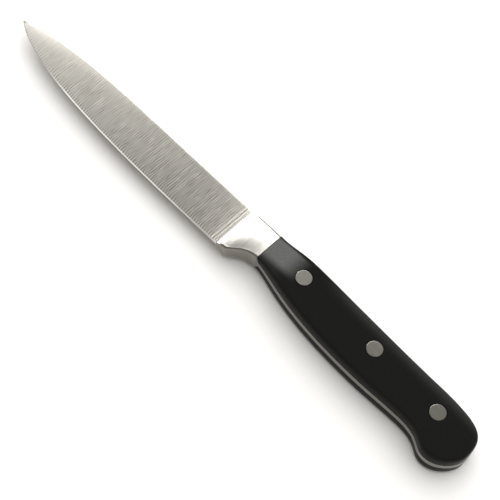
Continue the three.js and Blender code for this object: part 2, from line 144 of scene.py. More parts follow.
# %% Rails of the blade
heel_zone = HEEL_X - 6.0
spine_bend, edge_bend = HEEL_X - SPINE_STRAIGHT, HEEL_X - EDGE_STRAIGHT
blade_spine = joined(
    straight((HEEL_X, BLADE_SPINE_Y), (heel_zone, BLADE_SPINE_Y), steps(60)),
    straight((heel_zone, BLADE_SPINE_Y), (spine_bend, BLADE_SPINE_Y), steps(45)),
    to_tip((spine_bend, BLADE_SPINE_Y), (TIP_X, TIP_Y), 0.37, 0.24, 0.93, steps(105)),
)
blade_edge = joined(
    straight((HEEL_X, EDGE_Y), (heel_zone, EDGE_Y), steps(60)),
    straight((heel_zone, EDGE_Y), (edge_bend, EDGE_Y), steps(20)),
    to_tip((edge_bend, EDGE_Y), (TIP_X, TIP_Y), 0.45, 0.14, 0.83, steps(130)),
)
print("rows of the blade:", len(blade_spine), len(blade_edge))

# %% [markdown]
# The bolster runs from the heel to the shoulder, with a guard below it. Behind the shoulder the
# spine dips, rises to a crest and falls to the rear. The belly swells for the palm, narrows to a
# waist and ends in the hook that keeps the hand from slipping.

# %% Rails of bolster and handle
CREST, REAR, BUTT = (18.0, 7.0), (HANDLE_LENGTH - 24.2, 5.35), (HANDLE_LENGTH, -7.0)
SHOULDER_SPINE, NOTCH = (0.0, 6.4), (0.0, -6.75)
SHOULDER_DIP, DIP_RUN = 0.55, 0.33 * CREST[0]
SWELL, WAIST = (HANDLE_LENGTH - 48.2, -13.7), (HANDLE_LENGTH - 26.2, -13.0)
HOOK = (HANDLE_LENGTH - 10.7, HOOK_Y)
GUARD = (HEEL_X + 3.9, EDGE_Y)

third = -HEEL_X / 3
bolster_spine = cubic(
    (HEEL_X, BLADE_SPINE_Y), (-2 * third, BLADE_SPINE_Y),
    (-third, SHOULDER_SPINE[1] + third * SHOULDER_DIP / DIP_RUN), SHOULDER_SPINE, steps(144))
bolster_belly = joined(
    straight((HEEL_X, EDGE_Y), GUARD, steps(48)), level(GUARD, NOTCH, 0.17, 0.62, steps(96)))
handle_spine = joined(
    cubic(SHOULDER_SPINE, (DIP_RUN, SHOULDER_SPINE[1] - SHOULDER_DIP),
          (0.6 * CREST[0], CREST[1]), CREST, steps(40)),
    level(CREST, REAR, 0.17, 0.32, steps(64)),
    turning(REAR, BUTT, 0.82, 0.85, steps(88)),
)
front_belly = level(NOTCH, SWELL, 0.14, 0.69, steps(80))
handle_belly = joined(
    front_belly,
    level(SWELL, WAIST, 0.37, 0.37, steps(24)),
    level(WAIST, HOOK, 0.68, 0.37, steps(44)),
    turning(HOOK, BUTT, 0.5, 0.45, steps(44)),
)
print("rows of bolster and handle:", len(bolster_spine), len(handle_spine))

# %% [markdown]
# ## Meshes
# A surface is a grid of points: rows along the piece, columns round it. Blender gets the whole grid
# at once. Rows that end in one point leave many points in the same place, so those are merged, and
# then the faces are turned outwards. Edges sharper than a few degrees are kept sharp, the rest is
# smooth. Holes are drilled by taking away a turned solid, as a drill does.

# %% Grid to mesh
MERGE_WITHIN = 1e-7  # metres


def quads(rows, columns, wrap):
    """Corners of each quad between neighbouring rows and columns, closed round if it wraps."""
    i, j = np.meshgrid(np.arange(rows - 1), np.arange(columns - (not wrap)), indexing="ij")
    k = (j + 1) % columns
    corners = (i * columns + j, i * columns + k, (i + 1) * columns + k, (i + 1) * columns + j)
    return np.stack(corners, -1).reshape(-1, 4)


def closed_piece(name, points, faces, finishes, finish_of_face=None, attributes=None):
    """Object at the origin: points plus the shift, in metres, merged and turned outwards."""
    mesh = bpy.data.meshes.new(name)
    mesh.from_pydata(((points + SHIFT) / MM).tolist(), [], faces)
    for finish in finishes:
        mesh.materials.append(finish)
    if finish_of_face is not None:
        mesh.polygons.foreach_set("material_index", finish_of_face)
    for label, values in (attributes or {}).items():
        mesh.attributes.new(label, "FLOAT", "POINT").data.foreach_set("value", values)
    shape = bmesh.new()
    shape.from_mesh(mesh)
    bmesh.ops.remove_doubles(shape, verts=shape.verts, dist=MERGE_WITHIN)
    bmesh.ops.recalc_face_normals(shape, faces=shape.faces)
    open_edges = sum(not edge.is_manifold for edge in shape.edges)
    shape.to_mesh(mesh)
    shape.free()
    piece = bpy.data.objects.new(name, mesh)
    bpy.context.collection.objects.link(piece)
    print(name, "faces:", len(mesh.polygons), "open edges:", open_edges)
    return piece


def smooth_below(piece, degrees):
    """Smooth shading, except across edges where the surface turns by more than these degrees."""
    piece.data.shade_smooth()
    piece.data.set_sharp_from_angle(angle=math.radians(degrees))


def drilled(piece, cutter):
    """The piece without the space of the cutter, which is then thrown away."""
    cut = piece.modifiers.new("drilled", "BOOLEAN")
    cut.object = cutter
    cut.solver = "MANIFOLD"
    graph = bpy.context.evaluated_depsgraph_get()
    mesh = bpy.data.meshes.new_from_object(piece.evaluated_get(graph))
    piece.modifiers.clear()
    piece.data = mesh
    bpy.data.objects.remove(cutter)


print("quads round a tube of 3 rings with 8 points:", len(quads(3, 8, wrap=True)))

# %% [markdown]
# ## Colours and nodes
# Colours are written as the hex values seen on a screen, and one function turns them into the
# linear light that shaders work in. One more function adds a node with its settings and links.
# Object coordinates are metres, so a pattern that repeats each few millimetres gets the scale
# 1000 over that size.

# %% Colour and node helpers
def colour(text):
    """sRGB hex to linear: over 12.92 when dark, else shifted, scaled and raised to 2.4."""
    c = np.array([int(text[k:k + 2], 16) for k in (1, 3, 5)]) / 255
    linear = np.where(c <= 0.04045, c / 12.92, ((c + 0.055) / 1.055) ** 2.4)
    return (*linear.tolist(), 1.0)


def add(tree, kind, sockets=None, **settings):
    """One node: settings are its own properties, sockets are values or outputs of other nodes."""
    made = tree.nodes.new(kind)
    for name, value in settings.items():
        setattr(made, name, value)
    for socket, value in (sockets or {}).items():
        if isinstance(value, bpy.types.NodeSocket):
            tree.links.new(value, made.inputs[socket])
        else:
            made.inputs[socket].default_value = value
    return made


def new_finish(name):
    """Empty node material, with its tree and its shader."""
    finish = bpy.data.materials.new(name)
    finish.use_nodes = True
    tree = finish.node_tree
    tree.nodes.clear()
    shader = add(tree, "ShaderNodeBsdfPrincipled")
    add(tree, "ShaderNodeOutputMaterial", {"Surface": shader.outputs["BSDF"]})
    return finish, tree, shader


def in_model(axis, millimetres):
    """Object coordinate of a place: the maker's millimetres plus that axis' shift, in metres."""
    return float(millimetres + SHIFT["XYZ".index(axis)]) / MM


print("screen grey #808080 is linear", round(colour("#808080")[0], 3))

# %% [markdown]
# ## Ground blade steel
# The flats of the blade are ground across on a belt, so fine scratches run from the spine to the
# edge. On the real knife most of them are hundredths of a millimetre apart. That is far below a
# pixel, so they are drawn as the coarser lines the eye picks out, about a millimetre apart: half a
# bent wave, for the even ones, and half a stretched noise, for the stray ones. Next to the edge,
# where the belt bites, they stand like a comb that leans a little.

# %% Ground stainless steel: the lines
LINE_GAP, STRAY_GAP, COMB_GAP = 0.92, 0.55, 1.1  # from line to line, drawn coarse to show
LINE_REACH, STRAY_REACH, COMB_REACH = 7.0, 4.5, 9.0  # along a line until it bends or ends
COMB_LEAN = math.radians(-8)
COMB_FULL, COMB_GONE = 0.8, 3.0  # distances from the edge
WAVE = MM * 2 * math.pi / 20  # the wave node repeats each 2 pi over 20

ground_steel, tree, shader = new_finish("stainless_steel_ground_across")
place = add(tree, "ShaderNodeTexCoord").outputs["Object"]
across = add(tree, "ShaderNodeMapping", {
    "Vector": place, "Scale": (WAVE / LINE_GAP, MM / LINE_REACH, MM / LINE_REACH)})
lines = add(tree, "ShaderNodeTexWave", {
    "Vector": across.outputs["Vector"], "Scale": 1.0, "Distortion": 3.6, "Detail": 1.0,
    "Detail Scale": 1.0})
strands = add(tree, "ShaderNodeMapping", {
    "Vector": place, "Scale": (MM / STRAY_GAP, MM / STRAY_REACH, MM / STRAY_REACH)})
strand = add(tree, "ShaderNodeTexNoise", {
    "Vector": strands.outputs["Vector"], "Scale": 1.0, "Detail": 1.0, "Roughness": 0.5})
stray = add(tree, "ShaderNodeMapRange", {
    "Value": strand.outputs["Fac"], "From Min": 0.28, "From Max": 0.72})
uneven = add(tree, "ShaderNodeMix", {
    0: 0.5, 2: lines.outputs["Fac"], 3: stray.outputs["Result"]}, data_type="FLOAT")
leaning = add(tree, "ShaderNodeMapping", {"Vector": place, "Rotation": (0, 0, COMB_LEAN)})
teeth = add(tree, "ShaderNodeMapping", {
    "Vector": leaning.outputs["Vector"],
    "Scale": (WAVE / COMB_GAP, MM / COMB_REACH, MM / COMB_REACH)})
comb = add(tree, "ShaderNodeTexWave", {
    "Vector": teeth.outputs["Vector"], "Scale": 1.0, "Distortion": 2.0, "Detail": 1.0,
    "Detail Scale": 1.0})
from_edge = add(tree, "ShaderNodeAttribute", attribute_name="from_edge")
near_edge = add(tree, "ShaderNodeMapRange", {
    "Value": from_edge.outputs["Fac"], "From Min": COMB_FULL, "From Max": COMB_GONE,
    "To Min": 1.0, "To Max": 0.0})
mark = add(tree, "ShaderNodeMix", {
    0: near_edge.outputs["Result"], 2: uneven.outputs[0], 3: comb.outputs["Fac"]},
    data_type="FLOAT")
print("lines each", LINE_GAP, "mm, at the edge each", COMB_GAP, "mm")

# %% [markdown]
# The lines aren't equally deep all over. They come and go in patches of a few millimetres, they
# are deeper towards the heel and at the edge, and fainter along the spine and at the tip, where the
# belt lifts off. Each of these is a factor, except that the edge adds its own share, and together
# they say how hard the belt pressed there.

# %% Ground stainless steel: how deep the lines are
PATCH = 5.0  # size of the patches
SPINE_FADE = 5.0  # distance from the spine at which the lines are full
FAINT_X, FULL_X = -131.2, -36.2  # lines deepen between these two, from the tip to the heel
LIFTED_X, TOUCHING_X = -130.2, -104.2  # and fade out towards the first of these two
EDGE_BITE = 0.45  # what the edge adds to the depth

along = add(tree, "ShaderNodeSeparateXYZ", {"Vector": place})
towards_heel = add(tree, "ShaderNodeMapRange", {
    "Value": along.outputs["X"], "From Min": in_model("X", FAINT_X),
    "From Max": in_model("X", FULL_X), "To Min": 0.32, "To Max": 0.5})
patches = add(tree, "ShaderNodeMapping", {
    "Vector": place, "Scale": (MM / PATCH, MM / PATCH, MM / PATCH)})
patch = add(tree, "ShaderNodeTexNoise", {
    "Vector": patches.outputs["Vector"], "Scale": 1.0, "Detail": 1.0, "Roughness": 0.5})
patchy = add(tree, "ShaderNodeMapRange", {
    "Value": patch.outputs["Fac"], "From Min": 0.35, "From Max": 0.65,
    "To Min": 0.4, "To Max": 1.7})
from_spine = add(tree, "ShaderNodeAttribute", attribute_name="from_spine")
off_spine = add(tree, "ShaderNodeMapRange", {
    "Value": from_spine.outputs["Fac"], "From Min": 0.0, "From Max": SPINE_FADE,
    "To Min": 0.6, "To Max": 1.0})
even = add(tree, "ShaderNodeMath", {
    0: towards_heel.outputs["Result"], 1: off_spine.outputs["Result"]}, operation="MULTIPLY")
worn = add(tree, "ShaderNodeMath", {
    0: even.outputs[0], 1: patchy.outputs["Result"]}, operation="MULTIPLY")
pressed = add(tree, "ShaderNodeMath", {
    0: near_edge.outputs["Result"], 1: EDGE_BITE, 2: worn.outputs[0]}, operation="MULTIPLY_ADD")
off_tip = add(tree, "ShaderNodeMapRange", {
    "Value": along.outputs["X"], "From Min": in_model("X", LIFTED_X),
    "From Max": in_model("X", TOUCHING_X), "To Min": 0.25, "To Max": 1.0})
bite = add(tree, "ShaderNodeMath", {
    0: pressed.outputs[0], 1: off_tip.outputs["Result"]}, operation="MULTIPLY")
centred = add(tree, "ShaderNodeMath", {0: mark.outputs[0], 1: 0.5}, operation="SUBTRACT")
depth = add(tree, "ShaderNodeMath", {
    0: centred.outputs[0], 1: bite.outputs[0]}, operation="MULTIPLY")
print("patches of", PATCH, "mm, full lines from", SPINE_FADE, "mm below the spine")

# %% [markdown]
# A deep scratch looks darker and scatters the light a little more than the ridge beside it, and it
# also tilts the surface. So the depth drives the colour, the roughness and a bump of about two
# hundredths of a millimetre, which is what makes the blade shimmer when it turns. A bump is enough,
# because grooves this low never show in the outline.

# %% Ground stainless steel: what the eye sees
SCRATCH_DEPTH = 0.018  # millimetres

shade = add(tree, "ShaderNodeMapRange", {
    "Value": depth.outputs[0], "From Min": -0.25, "From Max": 0.25})
tone = add(tree, "ShaderNodeMix", {
    0: shade.outputs["Result"], 6: colour("#807d76"), 7: colour("#c2bfb8")}, data_type="RGBA")
gloss = add(tree, "ShaderNodeMapRange", {
    "Value": shade.outputs["Result"], "To Min": 0.31, "To Max": 0.28})
relief = add(tree, "ShaderNodeBump", {
    "Strength": 1.0, "Distance": SCRATCH_DEPTH / MM, "Height": depth.outputs[0]})
shader.inputs["Metallic"].default_value = 1.0
tree.links.new(tone.outputs[2], shader.inputs["Base Color"])
tree.links.new(gloss.outputs["Result"], shader.inputs["Roughness"])
tree.links.new(relief.outputs["Normal"], shader.inputs["Normal"])
print(ground_steel.name, "nodes:", len(tree.nodes))

# %% [markdown]
# ## Honed edge
# The bevel that cuts is honed on a stone. Its scratches scatter the light widely, so it stays
# bright from every side and draws a thin light line along the edge. Towards the tip the stone
# touches it only lightly, and it stays greyer.

# %% Honed stainless steel
STROKE_GAP, STROKE_REACH = 3.0, 40.0  # groups of strokes along the edge, as the eye sees them
GREY_X, BRIGHT_X = -116.2, -100.2  # grey in front of the first, bright behind the second

honed_steel, tree, shader = new_finish("stainless_steel_honed_edge")
place = add(tree, "ShaderNodeTexCoord").outputs["Object"]
strokes = add(tree, "ShaderNodeMapping", {
    "Vector": place, "Scale": (MM / STROKE_GAP, MM / STROKE_REACH, MM / STROKE_REACH)})
stroke = add(tree, "ShaderNodeTexNoise", {
    "Vector": strokes.outputs["Vector"], "Scale": 1.0, "Detail": 3.0, "Roughness": 0.6})
along = add(tree, "ShaderNodeSeparateXYZ", {"Vector": place})
at_tip = add(tree, "ShaderNodeMapRange", {
    "Value": along.outputs["X"], "From Min": in_model("X", GREY_X),
    "From Max": in_model("X", BRIGHT_X), "To Min": 1.0, "To Max": 0.0})
light = add(tree, "ShaderNodeMix", {
    0: stroke.outputs["Fac"], 6: colour("#f0eee8"), 7: colour("#fdfcf9")}, data_type="RGBA")
tone = add(tree, "ShaderNodeMix", {
    0: at_tip.outputs["Result"], 6: light.outputs[2], 7: colour("#b9b7b1")}, data_type="RGBA")
shader.inputs["Metallic"].default_value = 1.0
shader.inputs["Roughness"].default_value = 0.75
tree.links.new(tone.outputs[2], shader.inputs["Base Color"])
print(honed_steel.name, "nodes:", len(tree.nodes))

# %% [markdown]
# ## Polished bolster
# The bolster is polished on a soft wheel after forging. It isn't a mirror but a fine satin: the
# lamp shows in it as a soft light that runs out gently where the side rolls over, with faint
# streaks that the wheel leaves across the knife. The streaks are drawn about half a millimetre
# apart, coarser than they are, so that they show.

# %% Polished stainless steel
STREAK_GAP, STREAK_REACH = 0.45, 20.0  # along the knife and across it

polished_steel, tree, shader = new_finish("stainless_steel_polished_bolster")
place = add(tree, "ShaderNodeTexCoord").outputs["Object"]
streaks = add(tree, "ShaderNodeMapping", {
    "Vector": place, "Scale": (MM / STREAK_GAP, MM / STREAK_REACH, MM / STREAK_REACH)})
streak = add(tree, "ShaderNodeTexNoise", {
    "Vector": streaks.outputs["Vector"], "Scale": 1.0, "Detail": 1.0, "Roughness": 0.5})
tone = add(tree, "ShaderNodeMix", {
    0: streak.outputs["Fac"], 6: colour("#bcbab3"), 7: colour("#dddbd5")}, data_type="RGBA")
gloss = add(tree, "ShaderNodeMapRange", {
    "Value": streak.outputs["Fac"], "From Min": 0.3, "From Max": 0.7,
    "To Min": 0.28, "To Max": 0.3})
shader.inputs["Metallic"].default_value = 1.0
tree.links.new(tone.outputs[2], shader.inputs["Base Color"])
tree.links.new(gloss.outputs["Result"], shader.inputs["Roughness"])
print(polished_steel.name, "nodes:", len(tree.nodes))

# %% [markdown]
# ## Underside and back of the bolster
# The narrow underside and the back are only brushed after forging, so they are duller than the
# polished side, and they are painted darker too, as painted shade for the dimmer floor and room that
# they mirror. The back shows as a thin grey line along the spine. The marks of the brush run along
# the knife and are drawn a few tenths of a millimetre apart, coarser than they are.
# The tang and the rivets get such streaks too, so one function makes all three finishes.

# %% Brushed stainless steel, painted darker
def streaked_metal(name, sizes, dark, light, roughness):
    """Metal that varies between two tones, by a noise stretched to these sizes along x, y and z."""
    finish, tree, shader = new_finish(name)
    place = add(tree, "ShaderNodeTexCoord").outputs["Object"]
    streaks = add(tree, "ShaderNodeMapping", {
        "Vector": place, "Scale": [MM / size for size in sizes]})
    streak = add(tree, "ShaderNodeTexNoise", {
        "Vector": streaks.outputs["Vector"], "Scale": 1.0, "Detail": 3.0, "Roughness": 0.6})
    tone = add(tree, "ShaderNodeMix", {
        0: streak.outputs["Fac"], 6: colour(dark), 7: colour(light)}, data_type="RGBA")
    shader.inputs["Metallic"].default_value = 1.0
    shader.inputs["Roughness"].default_value = roughness
    tree.links.new(tone.outputs[2], shader.inputs["Base Color"])
    print(name, "streaks in mm:", sizes)
    return finish


# painted shade: these brushed tones are darker than the polished ones
brushed_shaded_steel = streaked_metal(
    "stainless_steel_brushed_underside_shaded", (4.0, 4.0, 0.4), "#817e77", "#99968f", roughness=0.3)

# %% [markdown]
# ## Tang edge
# Between the scales only the tang's edge shows. It is sanded flush together with the plastic, along
# the handle, so it is satin and a little darker than the blade, with long fine scratches.

# %% Satin stainless steel
satin_steel = streaked_metal(
    "stainless_steel_sanded_tang", (8.0, 0.4, 0.4), "#7b7872", "#928f88", roughness=0.38)

# %% [markdown]
# ## Handle plastic
# The scales are black acetal, POM, moulded and then sanded to a satin face. It is hard and smooth,
# so what shows is a grain of a few tenths of a millimetre, drawn a little coarser so that it shows.
# The sides are painted a little greyer than the faces, a painted sheen for the light they mirror,
# and towards the back a painted highlight makes the face greyer still along the spine, where its
# crown catches the light. An image texture could paint this, but places in millimetres stay right
# on both scales.

# %% Black POM: face, sides and back
GRAIN = 0.45  # size of the grain
SIDE_BELOW, FACE_ABOVE = HANDLE_HALF - 0.5, HANDLE_HALF - 0.02  # heights above the mid-plane
BACK_SHEEN_WIDTH = 6.0  # the painted highlight along the back
BACK_SHEEN_FROM_X, BACK_SHEEN_FULL_X = 19.8, 41.8  # it starts between these two
BACK_FALL = (CREST[1] - REAR[1]) / (REAR[0] - CREST[0])  # how the back line falls to the rear

black_pom, tree, shader = new_finish("black_pom_satin")
place = add(tree, "ShaderNodeTexCoord").outputs["Object"]
along = add(tree, "ShaderNodeSeparateXYZ", {"Vector": place})
grains = add(tree, "ShaderNodeMapping", {
    "Vector": place, "Scale": (MM / GRAIN, MM / GRAIN, MM / GRAIN)})
grain = add(tree, "ShaderNodeTexNoise", {
    "Vector": grains.outputs["Vector"], "Scale": 1.0, "Detail": 2.0, "Roughness": 0.6})
centred = add(tree, "ShaderNodeMath", {
    0: along.outputs["Z"], 1: HANDLE_HALF / MM}, operation="SUBTRACT")
height = add(tree, "ShaderNodeMath", {0: centred.outputs[0]}, operation="ABSOLUTE")
beside = add(tree, "ShaderNodeMapRange", {
    "Value": height.outputs[0], "From Min": SIDE_BELOW / MM, "From Max": FACE_ABOVE / MM,
    "To Min": 1.0, "To Max": 0.0})
face = add(tree, "ShaderNodeMix", {
    0: grain.outputs["Fac"], 6: colour("#0e0e0d"), 7: colour("#181817")}, data_type="RGBA")
# painted sheen: the sides are a little lighter than the faces
side = add(tree, "ShaderNodeMix", {
    0: grain.outputs["Fac"], 6: colour("#171716"), 7: colour("#242423")}, data_type="RGBA")
black = add(tree, "ShaderNodeMix", {
    0: beside.outputs["Result"], 6: face.outputs[2], 7: side.outputs[2]}, data_type="RGBA")
# painted highlight: a greyer band along the back, where the crown of the face catches the light
back_line = in_model("Y", CREST[1]) + BACK_FALL * in_model("X", CREST[0])
to_back = add(tree, "ShaderNodeVectorMath", {
    0: place, 1: (BACK_FALL, 1, 0)}, operation="DOT_PRODUCT")
near_back = add(tree, "ShaderNodeMapRange", {
    "Value": to_back.outputs["Value"], "From Min": back_line - BACK_SHEEN_WIDTH / MM,
    "From Max": back_line})
fading = add(tree, "ShaderNodeMath", {0: near_back.outputs["Result"], 1: 2.0}, operation="POWER")
past_front = add(tree, "ShaderNodeMapRange", {
    "Value": along.outputs["X"], "From Min": in_model("X", BACK_SHEEN_FROM_X),
    "From Max": in_model("X", BACK_SHEEN_FULL_X)}, interpolation_type="SMOOTHSTEP")
back_sheen = add(tree, "ShaderNodeMath", {
    0: fading.outputs[0], 1: past_front.outputs["Result"]}, operation="MULTIPLY")
grey = add(tree, "ShaderNodeMix", {
    0: grain.outputs["Fac"], 6: colour("#333332"), 7: colour("#414140")}, data_type="RGBA")
with_back_sheen = add(tree, "ShaderNodeMix", {
    0: back_sheen.outputs[0], 6: black.outputs[2], 7: grey.outputs[2]}, data_type="RGBA")
print("grain of", GRAIN, "mm, buffed band of", BACK_SHEEN_WIDTH, "mm")

# %% [markdown]
# The front of the scales is ground together with the bolster, and it is a little duller than the
# rest. A painted highlight makes it greyer, for the lamp that shines on the slope of the ramp, from
# the middle up to the spine, and it fades into the black face behind the ramp. Soft clouds in the
# roughness keep the sheen from looking like paint.

# %% Black POM: ground front with painted highlight, and gloss
FRONT_SHEEN_X, FRONT_SHEEN_END_X = 7.8, 17.8  # the painted highlight fades out between these two
FRONT_SHEEN_BELLY_Y, FRONT_SHEEN_MIDDLE_Y = -6.2, -2.2  # it fades in from the belly
FRONT_SHEEN_SPINE_Y, FRONT_SHEEN_END_Y = 4.6, 5.6  # and out at the spine
CLOUD_LENGTH, CLOUD_WIDTH = 9.0, 5.0  # millimetres, along and across the handle
GRAIN_DEPTH = 0.02  # millimetres
CLOUD_ROUGHNESS = 0.06  # what the clouds add at most
SHEEN = 0.035  # far below the usual 0.5, because the sanded face scatters most of its sheen

behind = add(tree, "ShaderNodeMapRange", {
    "Value": along.outputs["X"], "From Min": in_model("X", FRONT_SHEEN_X),
    "From Max": in_model("X", FRONT_SHEEN_END_X), "To Min": 1.0, "To Max": 0.0},
    interpolation_type="SMOOTHSTEP")
from_belly = add(tree, "ShaderNodeMapRange", {
    "Value": along.outputs["Y"], "From Min": in_model("Y", FRONT_SHEEN_BELLY_Y),
    "From Max": in_model("Y", FRONT_SHEEN_MIDDLE_Y)}, interpolation_type="SMOOTHSTEP")
to_spine = add(tree, "ShaderNodeMapRange", {
    "Value": along.outputs["Y"], "From Min": in_model("Y", FRONT_SHEEN_SPINE_Y),
    "From Max": in_model("Y", FRONT_SHEEN_END_Y), "To Min": 1.0, "To Max": 0.0})
across = add(tree, "ShaderNodeMath", {
    0: from_belly.outputs["Result"], 1: to_spine.outputs["Result"]}, operation="MULTIPLY")
ground = add(tree, "ShaderNodeMath", {
    0: behind.outputs["Result"], 1: across.outputs[0]}, operation="MULTIPLY")
# painted highlight: the ground front is painted grey where the lamp shines on its slope
front_sheen_grey = add(tree, "ShaderNodeMix", {
    0: grain.outputs["Fac"], 6: colour("#4a4a49"), 7: colour("#70706e")}, data_type="RGBA")
tone = add(tree, "ShaderNodeMix", {
    0: ground.outputs[0], 6: with_back_sheen.outputs[2], 7: front_sheen_grey.outputs[2]}, data_type="RGBA")
clouds = add(tree, "ShaderNodeMapping", {
    "Vector": place, "Scale": (MM / CLOUD_LENGTH, MM / CLOUD_WIDTH, MM / CLOUD_WIDTH)})
cloud = add(tree, "ShaderNodeTexNoise", {
    "Vector": clouds.outputs["Vector"], "Scale": 1.0, "Detail": 2.0, "Roughness": 0.5})
dulled = add(tree, "ShaderNodeMapRange", {
    "Value": ground.outputs[0], "To Min": 0.2, "To Max": 0.28})
gloss = add(tree, "ShaderNodeMath", {
    0: cloud.outputs["Fac"], 1: CLOUD_ROUGHNESS, 2: dulled.outputs["Result"]},
    operation="MULTIPLY_ADD")
relief = add(tree, "ShaderNodeBump", {
    "Strength": 0.4, "Distance": GRAIN_DEPTH / MM, "Height": grain.outputs["Fac"]})
shader.inputs["IOR"].default_value = 1.48
shader.inputs["Specular IOR Level"].default_value = SHEEN
tree.links.new(tone.outputs[2], shader.inputs["Base Color"])
tree.links.new(gloss.outputs[0], shader.inputs["Roughness"])
tree.links.new(relief.outputs["Normal"], shader.inputs["Normal"])
print(black_pom.name, "nodes:", len(tree.nodes))

# %% [markdown]
# ## Rivet metal
# The rivets are nickel silver. Their heads are sanded flush with the scales in one pass, so the
# scratches on all of them run the same way, along the handle, and the heads shine softly.

# %% Sanded rivet heads
rivet_metal = streaked_metal(
    "nickel_silver_sanded_flush", (5.0, 0.35, 5.0), "#868479", "#afada5", roughness=0.28)

# %% [markdown]
# ## Sections
# Cut across, the knife is the same on both sides, so half a section is enough: from the middle of
# the spine, over the side, to the middle of the belly. Each half is a row of distances from the
# spine and heights above the mid-plane, and all rows are worked out at once.

# %% Half sections
CORNER_STEPS, SIDE_STEPS = 12, 28
BEVEL_FROM = 1 + (CORNER_STEPS + 1) + (SIDE_STEPS - 1)  # first column of the lower corner
HALF = BEVEL_FROM + CORNER_STEPS + 2  # columns of half a section
quarter = np.linspace(0, np.pi / 2, CORNER_STEPS + 1)
inner = steps(SIDE_STEPS)[1:-1]


def mix(a, b, share):
    """Share of the way from a to b: a plus the share of their difference."""
    return a + (b - a) * share


def ease(share):
    """Slow start and slow end: half of one minus the cosine of half a turn."""
    return (1 - np.cos(np.pi * np.clip(share, 0, 1))) / 2


def half_sections(width, side, spine_round, belly_round, flatness=1.0):
    """Side of given height between two corners: quarter circles, the belly's one flattened."""
    w, s, b = (np.broadcast_to(v, width.shape)[:, None]
               for v in (width, spine_round, belly_round))
    along = s + (w - b - s) * inner
    distance = [0 * w, s * (1 - np.cos(quarter)), along, w - b * (1 - np.sin(quarter)), w]
    height = [0 * w, side(s) - s * (1 - np.sin(quarter)), side(along),
              side(w - b) - flatness * b * (1 - np.cos(quarter)), 0 * w]
    return np.hstack(distance), np.hstack(height)


def rings(spine, belly, distance, height):
    """Half sections laid from the spine rail to the belly rail, and mirrored into closed rings."""
    share = (distance / distance[:, -1:])[..., None]
    plan = mix(spine[:, None, :], belly[:, None, :], share)
    left = np.concatenate([plan, height[..., None]], -1)
    right = left[:, -2:0:-1] * (1, 1, -1)
    return np.concatenate([left, right], 1)


print("points in half a section:", HALF)

# %% [markdown]
# ## Blade, bolster and tang
# One bar of steel is forged to a wedge at the front, a thick bolster in the middle and a flat tang
# at the back. The wedge runs from spine to bevel, and the bevel to the edge. A sweep along a curve
# can't change its section like this, so every row gets its own.

# %% Blade sections
BEVEL_WIDTH, BEVEL_HALF, EDGE_HALF = 0.5, 0.175, 0.02  # half thickness at its start and end
SPINE_BREAK = 0.2  # rounding along the spine
GRIND_CROWN, FULL_CROWN_WIDTH = 0.055, 18.0  # bulge of the flats, less on a narrower blade
EASE_SLOPE = 0.022  # slope at the spine, where the flats are eased


def wedge_sections(spine, belly, spine_half, eased):
    """Taper from spine to bevel, plus a parabola for the crown, less a square one for the easing.

    From the bevel to the edge it is straight. Near the tip every size is limited to a share of the
    width or of the thickness that is left there.
    """
    width = np.linalg.norm(spine - belly, axis=1)
    bevel = np.minimum(BEVEL_WIDTH, 0.3 * width)
    bevel_half = np.minimum(BEVEL_HALF, 0.6 * spine_half)
    corner = np.minimum(np.minimum(SPINE_BREAK, 0.4 * spine_half), 0.2 * width)
    crown = GRIND_CROWN * np.minimum(1, width / FULL_CROWN_WIDTH)

    def taper(d):
        """Half thickness at distances from the spine: the straight taper, crowned and eased."""
        share = d / (width - bevel)[:, None]
        over = np.maximum(0, eased[:, None] - d) ** 2 / eased[:, None] * EASE_SLOPE / 2
        flat = mix(spine_half[:, None], bevel_half[:, None], share)
        return flat + 4 * crown[:, None] * share * (1 - share) - over

    distance, height = half_sections(width, taper, corner, bevel)
    share = steps(CORNER_STEPS)
    distance[:, BEVEL_FROM:-1] = width[:, None] - bevel[:, None] * (1 - share)
    height[:, BEVEL_FROM:-1] = mix(bevel_half[:, None], EDGE_HALF, share)
    return distance, height


print("bevel of", BEVEL_WIDTH, "mm, edge", 2 * EDGE_HALF, "mm thick")

# %% [markdown]
# Before the heel the blade slowly gets thicker, because the round of the grinding belt lifts there.
# Where the belt stops it leaves a low ridge and a few steps, hundredths of a millimetre high. They
# are too low to see as shapes, but they bend the light into the fine lines that a ground blade
# shows at its heel.

# %% Blade rows
RISE, RISE_AT, RISE_RUN, RISE_END = 0.41, -20.0, 9.0, -14.0  # it is 0.41 mm at x = -20
HEEL_STEPS = np.array([  # place, softness and height of each step
    (-18.05, 0.3, 0.042), (-17.35, 0.25, -0.02), (-16.75, 0.3, 0.034), (-15.0, 0.6, 0.04)])
HEEL_SPINE_HALF, TIP_SPINE_HALF = 1.0, 0.1  # half the thickness of the spine
TAPER_POWER, TAPER_STRAIGHT = 7, 0.93  # of the way to the tip; straight after this share
HEEL_EASED, TIP_EASED = 0.8, 5.0  # width of the easing along the spine
EASED_FROM, EASED_RUN = 0.35, 0.4  # shares of the way to the tip over which it widens


def heel_rise(x):
    """Thickening that grows by e each 9 mm, plus steps: half of one plus a hyperbolic tangent."""
    grown = RISE * np.exp((np.minimum(x, RISE_END) - RISE_AT) / RISE_RUN)
    at, softness, height = HEEL_STEPS.T
    return grown + (height * (0.5 + 0.5 * np.tanh((x[..., None] - at) / softness))).sum(-1)


def raised(spine, belly, distance):
    """The rise at each point of the sections, run out to nothing across the bevel."""
    width = distance[:, -1:]
    share = np.clip((width - distance) / BEVEL_WIDTH, 0, 1)
    share[:, 0] = 0
    return heel_rise(mix(spine[:, :1], belly[:, :1], distance / width)) * share


